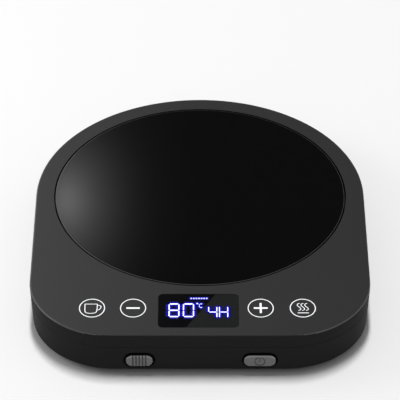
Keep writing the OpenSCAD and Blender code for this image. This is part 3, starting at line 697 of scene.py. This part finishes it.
@dataclass
class Housing:
    """The moulded cover and base, the feet and the cord gland, with painted shade on the walls and
    in the plate's groove, a painted highlight on the cover's top edge and painted light on the
    base's lip.

    The values named steep are the Z of a face's normal: 0 for a wall and 1 for a level top. Those
    named turn are its X, from 0 straight in front.
    """

    groove_r: float = 67.4
    groove_y: float = 13.0
    groove_steep: float = 0.7
    edge_bottom: float = 21.7
    edge_steep: Point = (0.4, 0.8)
    front_steep: float = 0.9
    front_turn: Point = (0.06, 0.3)
    lip: Point = (13.0, 18.0)
    lip_steep: float = 0.5
    feet: tuple[str, ...] = ("front_left", "front_right", "rear_left", "rear_right")

    def build(self) -> None:
        """Dress the two mouldings and what is pushed into them."""
        # The cover takes painted shade in the plate's groove and on its walls and a painted
        # highlight on its top edge; the base takes painted shade on its walls and painted light on
        # its lip.
        dressed_copy("top_cover", Part("cover_moulding", UPPER, "upper_housing", (
            (GROOVE_SHADE, self._by_plate), (EDGE_HIGHLIGHT, self._on_highlight_edge), (SHADED_SIDES, self._on_skirt))))
        dressed_copy("base_shell", Part("base_moulding", SHADED_SIDES, "lower_housing",
                                        ((LIP_PAINTED_LIGHT, self._on_lip),)))
        dressed_copy("cord_gland", Part("cord_gland_rubber", BLACK_RUBBER, "gland_rubber"))
        for corner in self.feet:
            dressed_copy(f"foot_{corner}", Part(f"foot_{corner}_pad", RUBBER, "foot_rubber"))

    def _by_plate(self, middle: Vector, normal: Vector) -> bool:
        """Tell whether a face lies in the groove around the plate, where it takes painted shade."""
        out = math.hypot(middle.x, middle.y - self.groove_y)
        return out < self.groove_r and normal.z < self.groove_steep

    def _on_highlight_edge(self, middle: Vector, normal: Vector) -> bool:
        """Tell whether a face lies on the cover's rounded top edge where it takes the painted
        highlight.
        """
        light = self._edge_foot(normal) < normal.z < self.edge_steep[1]
        return light and middle.z > self.edge_bottom

    def _on_skirt(self, middle: Vector, normal: Vector) -> bool:
        """Tell whether a face lies below the painted highlight on the cover's rounded top edge,
        where it takes painted shade.
        """
        return normal.z <= self._edge_foot(normal)

    def _edge_foot(self, normal: Vector) -> float:
        """Find how steep the rounded top edge is where its painted highlight ends.

        Args:
            normal: The face's normal. The painted highlight runs out towards the front.

        Returns:
            The normal's Z at the end of the light part.
        """
        first, last = self.front_turn
        turned = min(1.0, max(0.0, (abs(normal.x) - first) / (last - first)))
        foot = self.edge_steep[0]
        return foot if normal.y > 0 else self.front_steep + (foot - self.front_steep) * turned

    def _on_lip(self, middle: Vector, normal: Vector) -> bool:
        """Tell whether a face lies on the base wall's upper end, in the parting line, where it
        takes painted light.
        """
        return self.lip[0] < middle.z < self.lip[1] and normal.z > self.lip_steep


@dataclass
class WarmingPlate:
    """The round glass plate, with a painted highlight on its top edge between two steepnesses and
    painted shade on its side.
    """

    radius: float = 66.3
    centre_y: float = 13.0
    bottom: float = 18.5
    top: float = 22.5
    edge: float = 0.5
    steps: int = 6
    highlight_steep: Point = (0.85, 0.996)

    def build(self) -> None:
        """Spin the plate's section, with both edges rounded."""
        profile = [(0.0, self.bottom)]
        for start, height in ((-90, self.bottom + self.edge), (0, self.top - self.edge)):
            for i in range(self.steps + 1):
                turn = math.radians(start + 90 * i / self.steps)
                profile.append((self.radius - self.edge + self.edge * math.cos(turn),
                                height + self.edge * math.sin(turn)))
        profile.append((0.0, self.top))
        others = ((GLASS_EDGE_HIGHLIGHT, self._on_highlight_edge), (GROOVE_SHADE, self._on_side))
        plate = Blank().spun(profile).place((0, self.centre_y, 0))
        made = plate.piece(Part("warming_plate", GLASS, "plate_glass", others))
        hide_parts("glass_plate")

    def _on_highlight_edge(self, middle: Vector, normal: Vector) -> bool:
        """Tell whether a face lies on the upper part of the plate's rounded top edge, which takes a
        painted highlight.
        """
        return self.highlight_steep[0] < normal.z < self.highlight_steep[1]

    def _on_side(self, middle: Vector, normal: Vector) -> bool:
        """Tell whether a face lies on the plate's side, in the groove around it, where it takes
        painted shade.
        """
        return abs(normal.z) <= self.highlight_steep[0]


@dataclass(frozen=True)
class Figure:
    """One seven-bar figure: its centre, its width and depth, the widths of its upright and of its
    level bars, and the numbers of the lit bars, clockwise from the top and the middle one last."""

    centre: Point
    size: Point
    bars: Point
    lit: str


@dataclass(frozen=True)
class Layer:
    """A layer of the lit display: how far its shapes grow outwards and rise over the window."""

    name: str
    finish: Surface
    grow: float
    rise: float


@dataclass
class Display:
    """The display window with its lit figures, a degree mark and a row of level marks."""

    centre: Point = (-0.7, -70.8)
    size: Point = (35.0, 22.8)
    corner: float = 2.2
    bottom: float = 21.0
    top: float = 22.46
    edge: float = 0.14
    face_steep: float = 0.995
    film: float = 0.03
    layers: tuple[Layer, ...] = (
        Layer("figure_halo_outer", HALO_EDGE, 1.3, 0.006),
        Layer("figure_halo_inner", HALO, 0.7, 0.012),
        Layer("lit_figures", LIT, 0.0, 0.02),
    )
    marks: Layer = Layer("lit_marks", LIT_SMALL, 0.0, 0.02)
    figures: tuple[Figure, ...] = (
        Figure((-11.3, -70.5), (4.75, 9.3), (0.5, 0.72), "0123456"),
        Figure((-5.0, -70.5), (4.85, 9.3), (0.5, 0.72), "012345"),
        Figure((5.55, -71.7), (3.95, 7.9), (0.4, 0.56), "1256"),
        Figure((10.25, -71.7), (4.0, 7.9), (0.4, 0.56), "12456"),
        Figure((0.45, -67.4), (1.7, 2.8), (0.26, 0.36), "0345"),
    )
    bar_gap: float = 0.42
    degree: Point = (-1.15, -65.95)
    degree_r: float = 0.4
    levels: int = 7
    levels_place: Point = (-0.45, -62.4)
    level_pitch: float = 1.12
    level_half: Point = (0.36, 0.42)

    def build(self) -> None:
        """Make the window, the figures, their halo and the row of level marks."""
        window = Blank().rounded_box((*self.size, self.top - self.bottom), self.corner, self.edge)
        made = window.place((*self.centre, self.bottom)).piece(Part(
            "display_lens", LENS, "window_black", ((SHADED_SIDES, self._off_face),)))
        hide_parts("display_window")
        for layer in self.layers:
            shapes = [bar for figure in self.figures for bar in self._bars(figure, layer.grow)]
            shapes.append(self._degree(layer.grow))
            self._lay(layer, shapes + (self._levels(layer.grow) if layer.grow else []))
        self._lay(self.marks, self._levels(self.marks.grow))

    def _off_face(self, middle: Vector, normal: Vector) -> bool:
        """Tell whether a face of the window lies off its flat top, where it takes the painted
        shade.
        """
        return normal.z < self.face_steep

    def _lay(self, layer: Layer, shapes: list[Outline]) -> None:
        """Lay one layer on the window.

        Args:
            layer: The layer.
            shapes: The outlines of its shapes.
        """
        blank, top = Blank(), self.top + layer.rise
        for shape in shapes:
            blank.slab(shape, top - self.film, top)
        blank.piece(Part(layer.name, layer.finish, "window_black"))

    def _bars(self, figure: Figure, grow: float) -> list[Outline]:
        """Draw the lit bars of a figure.

        Args:
            figure: The figure.
            grow: How far the bars are drawn outwards.

        Returns:
            The bars' outlines.
        """
        (x, y), (width, depth), (slim, thick) = figure.centre, figure.size, figure.bars
        across, up = (width - slim) / 2, (depth - thick) / 2
        places = ((0, up, 0), (across, up / 2, 1), (across, -up / 2, 1), (0, -up, 0),
                  (-across, -up / 2, 1), (-across, up / 2, 1), (0, 0, 0))
        bars = []
        for key in figure.lit:
            right, back, turned = places[int(key)]
            length = (up if turned else width - slim) - self.bar_gap + 2 * grow
            half, tip = length / 2, (slim if turned else thick) / 2 + grow
            points = [(-half, 0), (-half + tip, -tip), (half - tip, -tip), (half, 0),
                      (half - tip, tip), (-half + tip, tip)]
            if turned:
                points = [(-b, a) for a, b in points]
            bars.append([(x + right + a, y + back + b) for a, b in points])
        return bars

    def _levels(self, grow: float) -> list[Outline]:
        """Draw the row of small level marks above the figures.

        Args:
            grow: How far the marks are drawn outwards, half of it at each side.

        Returns:
            The marks' outlines.
        """
        middle, y = self.levels_place
        wide, deep = (half + grow / 2 for half in self.level_half)
        marks = []
        for i in range(self.levels):
            x = middle + (i - (self.levels - 1) / 2) * self.level_pitch
            marks.append([(x - wide, y - deep), (x + wide, y - deep), (x + wide, y + deep),
                          (x - wide, y + deep)])
        return marks

    def _degree(self, grow: float) -> Outline:
        """Draw the degree mark.

        Args:
            grow: How far it is drawn outwards, like the bars.

        Returns:
            The outline.
        """
        (x, y), radius = self.degree, self.degree_r + grow
        turns = (math.tau * k / 8 for k in range(8))
        return [(x + radius * math.cos(turn), y + radius * math.sin(turn)) for turn in turns]


@dataclass
class TouchKeys:
    """The printed rings and signs of the four touch keys, drawn around each key's centre."""

    row_y: float = -69.05
    places: dict[Sign, float] = field(default_factory=lambda: {
        Sign.CUP: -46.95, Sign.MINUS: -29.1, Sign.PLUS: 26.4, Sign.STEAM: 44.7})
    half: Point = (5.67, 6.32)
    ring_steps: int = 72
    stroke: float = 0.42
    pen: float = 0.39
    panel_top: float = 22.5
    ink: float = 0.02
    film: float = 0.04
    line_film: float = 0.03
    minus: Point = (2.9, 0.52)
    plus: tuple[float, float, float, float] = (3.03, 0.54, 3.42, 0.45)
    cup: Outline = (
        (-3.05, 2.72), (-3.12, 2.72), (-3.12, 2.62), (-3.1, -1.4), (-2.85, -3.1), (-1.4, -3.6),
        (0.5, -3.6), (1.95, -3.0), (2.22, -0.9), (2.27, 2.62), (2.27, 2.72), (2.2, 2.72))
    handle: Outline = (
        (2.27, 1.85), (3.3, 1.9), (3.9, 1.2), (3.85, 0.1), (3.2, -1.2), (2.2, -1.4))
    wave: Outline = (
        (0.4, 3.3), (-0.6, 2.9), (-0.85, 1.8), (0.1, 0.7), (0.85, -0.4), (0.65, -1.3),
        (-0.3, -1.65))
    waves_x: tuple[float, ...] = (-1.63, 0.0, 1.63)
    plate: Outline = ((-2.3, -3.5), (2.55, -3.5), (2.55, -3.0), (-2.3, -3.0))

    def build(self) -> None:
        """Print the ring and the sign of each key."""
        for sign, x in self.places.items():
            key = self._ring()
            self._sign(key, sign)
            key.place((x, self.row_y, self.panel_top + self.ink))
            key.piece(Part("key_print_" + sign.value, GLOWING_PRINT, "upper_housing"))

    def _ring(self) -> Blank:
        """Make the oval ring, as a thin closed band.

        Returns:
            The ring's mesh, its top at z = 0.
        """
        ring = Blank()
        inner, low = 1 - self.stroke / self.half[0], -self.film
        ring.spun([(inner, 0), (1, 0), (1, low), (inner, low), (inner, 0)], self.ring_steps)
        bmesh.ops.scale(ring.bm, vec=(*self.half, 1), verts=ring.bm.verts)
        return ring

    def _line(self, key: Blank, points: Outline, closed: bool = False) -> None:
        """Draw a round-ended line of the pen's width as a thin band.

        Args:
            key: The key to draw on.
            points: The points that the line follows.
            closed: Whether the line runs back to its start.
        """
        curve = bpy.data.curves.new("line", "CURVE")
        curve.dimensions = "3D"
        curve.bevel_depth = self.pen / 2
        curve.bevel_resolution = 3
        curve.use_fill_caps = True
        curve.resolution_u = 6
        spline = curve.splines.new("NURBS")
        spline.points.add(len(points) - 1)
        for place, (x, y) in zip(spline.points, points):
            place.co = (x, y, 0.0, 1.0)
        spline.order_u = 3
        spline.use_endpoint_u = not closed
        spline.use_cyclic_u = closed
        holder = bpy.data.objects.new("line", curve)
        mesh = holder.to_mesh()
        mesh.transform(Matrix.Diagonal((1, 1, self.line_film / self.pen, 1)))
        key.bm.from_mesh(mesh)
        holder.to_mesh_clear()
        bpy.data.objects.remove(holder)
        bpy.data.curves.remove(curve)

    def _sign(self, key: Blank, sign: Sign) -> None:
        """Draw one key's sign.

        Args:
            key: The key to draw on.
            sign: The sign to draw.
        """
        if sign is Sign.MINUS:
            arm, wide = self.minus
            key.slab([(-arm, -wide), (arm, -wide), (arm, wide), (-arm, wide)], -self.film, 0.0)
        elif sign is Sign.PLUS:
            arm, wide, tall, slim = self.plus
            right = [(slim, -tall), (slim, -wide), (arm, -wide), (arm, wide), (slim, wide),
                     (slim, tall)]
            left = [(-x, -y) for x, y in right]
            key.slab([*left[-2:], *right, *left[:-2]], -self.film, 0.0)
        elif sign is Sign.CUP:
            self._line(key, self.cup, closed=True)
            self._line(key, self.handle)
        else:
            for right in self.waves_x:
                self._line(key, [(x + right, y) for x, y in self.wave])
            key.slab(self.plate, -self.film, 0.0)


@dataclass
class FrontControls:
    """The ribbed slide knob and the power button in the front wall.

    Depths are counted from the controls' front face inwards.
    """

    front: float = -88.205
    height: float = 8.35
    knob_x: float = -26.25
    grip_half: float = 3.12
    grip_depth: float = 0.6
    button_x: float = 25.9
    sign_r: float = 2.45
    sign_depth: float = 0.25
    rim: Point = (0.02, 0.62)
    rim_steep: float = 0.35
    level: float = 0.1
    slack: float = 0.05
    smooth: float = 28.0

    def build(self) -> None:
        """Dress the knob and the button, with painted shade in the grooves, in the sign and behind
        the front edge, and a painted highlight on the upper rim.
        """
        for name, body, sunk in (("slide_knob", Body.SLIDE, self._in_groove),
                                 ("power_button", Body.BUTTON, self._in_sign)):
            dressed_copy(name, Part(name + "_moulding", CONTROL, "control_grey", (
                (RECESS_SHADE, sunk), (RIM_HIGHLIGHT, self._on_rim_highlight), (SHADED_SIDES, self._behind)), body, self.smooth))

    def _on_rim_highlight(self, middle: Vector, normal: Vector) -> bool:
        """Tell whether a face lies on the upper half of the rounded front edge, which takes a
        painted highlight.
        """
        return self.rim[0] < middle.y - self.front < self.rim[1] and normal.z > self.rim_steep

    def _behind(self, middle: Vector, normal: Vector) -> bool:
        """Tell whether a face lies behind the rounded front edge, where the control takes painted
        shade.
        """
        return middle.y - self.front > self.rim[1]

    def _sunk(self, middle: Vector, normal: Vector, depth: float) -> bool:
        """Tell whether a face is a wall or the floor of something sunk into the front face.

        Args:
            middle: The face's middle.
            normal: Its normal.
            depth: How deep the floor lies.

        Returns:
            Whether the face belongs to it.
        """
        inward = middle.y - self.front
        wall = abs(normal.y) < self.level and 0.0 < inward < depth
        floor = normal.y < self.level - 1 and depth / 2 < inward < depth + self.slack
        return wall or floor

    def _in_groove(self, middle: Vector, normal: Vector) -> bool:
        """Tell whether a face belongs to one of the knob's grip grooves, which take painted shade.
        """
        inside = abs(middle.x - self.knob_x) < self.grip_half and abs(normal.z) < self.level
        return inside and self._sunk(middle, normal, self.grip_depth)

    def _in_sign(self, middle: Vector, normal: Vector) -> bool:
        """Tell whether a face belongs to the button's sunk sign, which takes painted shade."""
        inside = math.hypot(middle.x - self.button_x, middle.z - self.height) < self.sign_r
        return inside and self._sunk(middle, normal, self.sign_depth)


@dataclass
class Insides:
    """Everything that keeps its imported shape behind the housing."""

    finishes: dict[str, Finish] = field(default_factory=CARRIED.copy)

    def build(self) -> None:
        """Give each carried-over node its finish."""
        for node, finish in self.finishes.items():
            slots = bpy.data.objects[node].material_slots
            if not slots:
                bpy.data.objects[node].data.materials.append(finish.material())
            for slot in slots:
                slot.material = finish.material()
            LOG.info("%s: %s", node, finish.name)


# ---- Studio ----


@dataclass(frozen=True)
class Lamp:
    """A soft lamp: where it hangs, what it faces, its width and depth, its power in watts, and
    whether glossy surfaces mirror it."""

    name: str
    place: Place
    aim: Place
    size: Point
    power: float
    mirrored: bool = True


@dataclass
class Studio:
    """The floor, the light and the camera.

    The scrim is seen by glossy surfaces only. It shows a soft spot, whose light falls off along the
    stops given as share of its reach and level, and a band on its left.
    """

    aim: Place = (0.0, 8.416, 22.5)
    distance: float = 1281.95
    elevation: float = 37.347
    lens: float = 252.6
    sensor: float = 36.0
    sight: float = 50.0
    floor: Colour = (0.915, 0.915, 0.915)
    floor_half: float = 6000.0
    sky: float = 0.27
    lamps: tuple[Lamp, ...] = (
        Lamp("top_softbox", (0, 375, 3600), (0, 0, 0), (300, 1180), 93, mirrored=False),
        Lamp("left_softbox", (-640, 60, 360), (0, 0, 20), (340, 340), 0.9),
    )
    scrim_place: Place = (0.0, 472.0, 387.0)
    scrim_aim: Place = (0.0, 0.0, 22.5)
    scrim_half: Point = (700.0, 520.0)
    scrim_level: float = 2.7
    spot_place: Point = (89.5, -7.5)
    spot_height: float = 1.33
    spot_reach: float = 86.4
    spot_stops: Outline = (
        (0.05, 1.0), (0.093, 0.68), (0.136, 0.52), (0.18, 0.41), (0.22, 0.31), (0.264, 0.26),
        (0.307, 0.19), (0.35, 0.165), (0.407, 0.12), (0.464, 0.08), (0.571, 0.045), (0.714, 0.025),
        (1.0, 0.015))
    band: Point = (120.0, 170.0)
    band_level: float = 0.5

    def build(self) -> None:
        """Set up floor, world, lamps and camera."""
        self._floor()
        self._world()
        self._scrim()
        for lamp in self.lamps:
            self._lamp(lamp)
        self._camera()
        view = bpy.context.scene.view_settings
        view.view_transform = "Standard"

    @staticmethod
    def _sheet(name: str, half: Point, steps: int,
               material: bpy.types.Material) -> bpy.types.Object:
        """Make a flat sheet around the origin.

        Args:
            name: Its name.
            half: Half its width and half its depth, in millimetres.
            steps: Number of faces each way.
            material: Its material.

        Returns:
            The new object.
        """
        bm = bmesh.new()
        bmesh.ops.create_grid(bm, x_segments=steps, y_segments=steps, size=MM)
        bmesh.ops.scale(bm, vec=(*half, 1), verts=bm.verts)
        mesh = bpy.data.meshes.new(name)
        bm.to_mesh(mesh)
        bm.free()
        mesh.materials.append(material)
        return put_in_scene(name, mesh)

    def _floor(self) -> None:
        """Lay a wide pale floor under the feet."""
        finish = Finish("studio_floor_paper", self.floor, self.floor, 0.9, scale=300, depth=0.00001,
                        specular=0.1)
        made = self._sheet("studio_floor", (self.floor_half, self.floor_half), 8, finish.material())

    def _scrim(self) -> None:
        """Hang the graded scrim behind and above."""
        made = self._sheet("studio_scrim", self.scrim_half, 1, self._scrim_light())
        made.matrix_world = self._facing(self.scrim_place, self.scrim_aim)
        for ray in ("camera", "diffuse", "shadow", "transmission", "volume_scatter"):
            setattr(made, "visible_" + ray, False)

    def _scrim_light(self) -> bpy.types.Material:
        """Make the light of the scrim, the spot or the band, whichever is brighter.

        Returns:
            The material.
        """
        graded = bpy.data.materials.new("studio_scrim_light")
        graded.use_nodes = True
        graded.node_tree.nodes.clear()
        wires = Wiring(graded.node_tree)
        across = wires.add("TexCoord").outputs["Object"]
        spot = wires.add("Mapping", {
            "Vector": across, "Location": (*(part * MM for part in self.spot_place), 0.0),
            "Scale": (1.0, self.spot_height, 1.0)}, vector_type="TEXTURE").outputs["Vector"]
        apart = wires.add("VectorMath", {0: spot}, operation="LENGTH").outputs["Value"]
        share = wires.add("MapRange", {"Value": apart, "From Max": self.spot_reach * MM})
        ramp = wires.add("ValToRGB", {"Fac": share.outputs["Result"]})
        elements = ramp.color_ramp.elements
        while len(elements) < len(self.spot_stops):
            elements.new(0.5)
        for element, (at, level) in zip(elements, self.spot_stops):
            element.position = at
            element.color = (level, level, level, 1.0)
        side = wires.add("SeparateXYZ", {"Vector": across}).outputs["X"]
        band = wires.add("MapRange", {"Value": side, "From Min": self.band[0] * MM,
                                      "From Max": self.band[1] * MM, "To Max": self.band_level})
        both = wires.add("Math", {0: band.outputs["Result"], 1: ramp.outputs["Color"]},
                         operation="MAXIMUM").outputs["Value"]
        glow = wires.add("Emission", {"Color": both, "Strength": self.scrim_level})
        wires.add("OutputMaterial", {"Surface": glow.outputs["Emission"]})
        return graded

    def _world(self) -> None:
        """Set a plain white surrounding that camera, glossy and transmitted rays see at full."""
        world = bpy.data.worlds.new("studio_world")
        bpy.context.scene.world = world
        world.use_nodes = True
        world.node_tree.nodes.clear()
        wires = Wiring(world.node_tree)
        white = (1.0, 1.0, 1.0, 1.0)
        soft, full = (wires.add("Background", {"Color": white, "Strength": level}).outputs[0]
                      for level in (self.sky, 1.0))
        path = wires.add("LightPath").outputs
        either = path["Is Camera Ray"]
        for key in ("Is Glossy Ray", "Is Transmission Ray"):
            most = wires.add("Math", {0: either, 1: path[key]}, operation="MAXIMUM")
            either = most.outputs["Value"]
        mix = wires.add("MixShader", {0: either, 1: soft, 2: full})
        wires.add("OutputWorld", {"Surface": mix.outputs["Shader"]})

    def _lamp(self, lamp: Lamp) -> None:
        """Hang one soft lamp.

        Args:
            lamp: The lamp's values.
        """
        light = bpy.data.lights.new(lamp.name, "AREA")
        light.shape = "RECTANGLE"
        light.size, light.size_y = (length * MM for length in lamp.size)
        light.energy = lamp.power
        made = put_in_scene(lamp.name, light)
        made.matrix_world = self._facing(lamp.place, lamp.aim)
        made.visible_glossy = lamp.mirrored

    @staticmethod
    def _facing(place: Place, aim: Place) -> Matrix:
        """Give the place and turn of something that looks from one point to another.

        Args:
            place: Where it stands, in millimetres.
            aim: What it looks at, in millimetres.

        Returns:
            The world matrix.
        """
        start, end = Vector(place) * MM, Vector(aim) * MM
        turn = (end - start).to_track_quat("-Z", "Y").to_matrix().to_4x4()
        return Matrix.Translation(start) @ turn

    def _camera(self) -> None:
        """Stand the camera at the photograph's angle, with its long lens."""
        camera = bpy.data.cameras.new("camera")
        camera.lens = self.lens
        camera.sensor_width = self.sensor
        camera.clip_end = self.sight
        made = put_in_scene("camera", camera)
        x, y, z = self.aim
        tilt = math.radians(self.elevation)
        made.matrix_world = self._facing((x, y - self.distance * math.cos(tilt),
                                          z + self.distance * math.sin(tilt)), self.aim)
        bpy.context.scene.camera = made


def main() -> None:
    """Build the object piece by piece, then the studio."""
    logging.basicConfig(level=logging.INFO, format="%(name)s: %(message)s")
    for assembly in (Housing(), WarmingPlate(), Display(), TouchKeys(), FrontControls(), Insides()):
        LOG.info("building %s", type(assembly).__name__)
        assembly.build()
    Studio().build()


if __name__ == "__main__":
    main()
